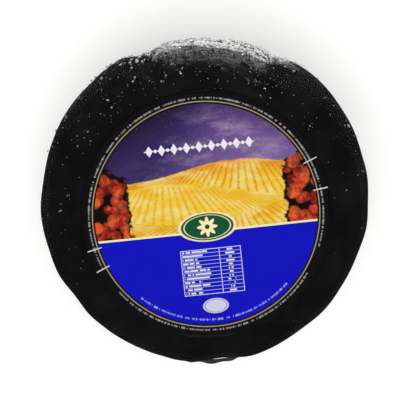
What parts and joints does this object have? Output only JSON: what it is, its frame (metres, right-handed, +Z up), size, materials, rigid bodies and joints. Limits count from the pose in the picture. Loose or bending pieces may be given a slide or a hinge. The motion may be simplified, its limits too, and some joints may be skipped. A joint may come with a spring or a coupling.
{
  "type": "reggianito cheese wheel",
  "caption": "Whole hard grating cheese: a low round wheel with a black rind in tight clear film, lying flat, with a round printed label on its upper face.",
  "frame": {"origin": "on the ground, under the middle of the whole outline", "axes": "+Z up, out of the labelled face; +Y towards the label's upper edge; +X to the right as the label is read"},
  "size_m": [0.2478, 0.2454, 0.1321],
  "materials": {
    "rind": "black waxed rind under tight glossy clear film, finely wrinkled",
    "label": "glossy printed paper, blue lower field and a warm coloured upper field in a black and gold border",
    "film": "clear glossy film, milky where it is folded double"
  },
  "bodies": {
    "root": {"cheese_wheel": "rind", "label": "label", "film_fold": "film"}
  },
  "joints": []
}
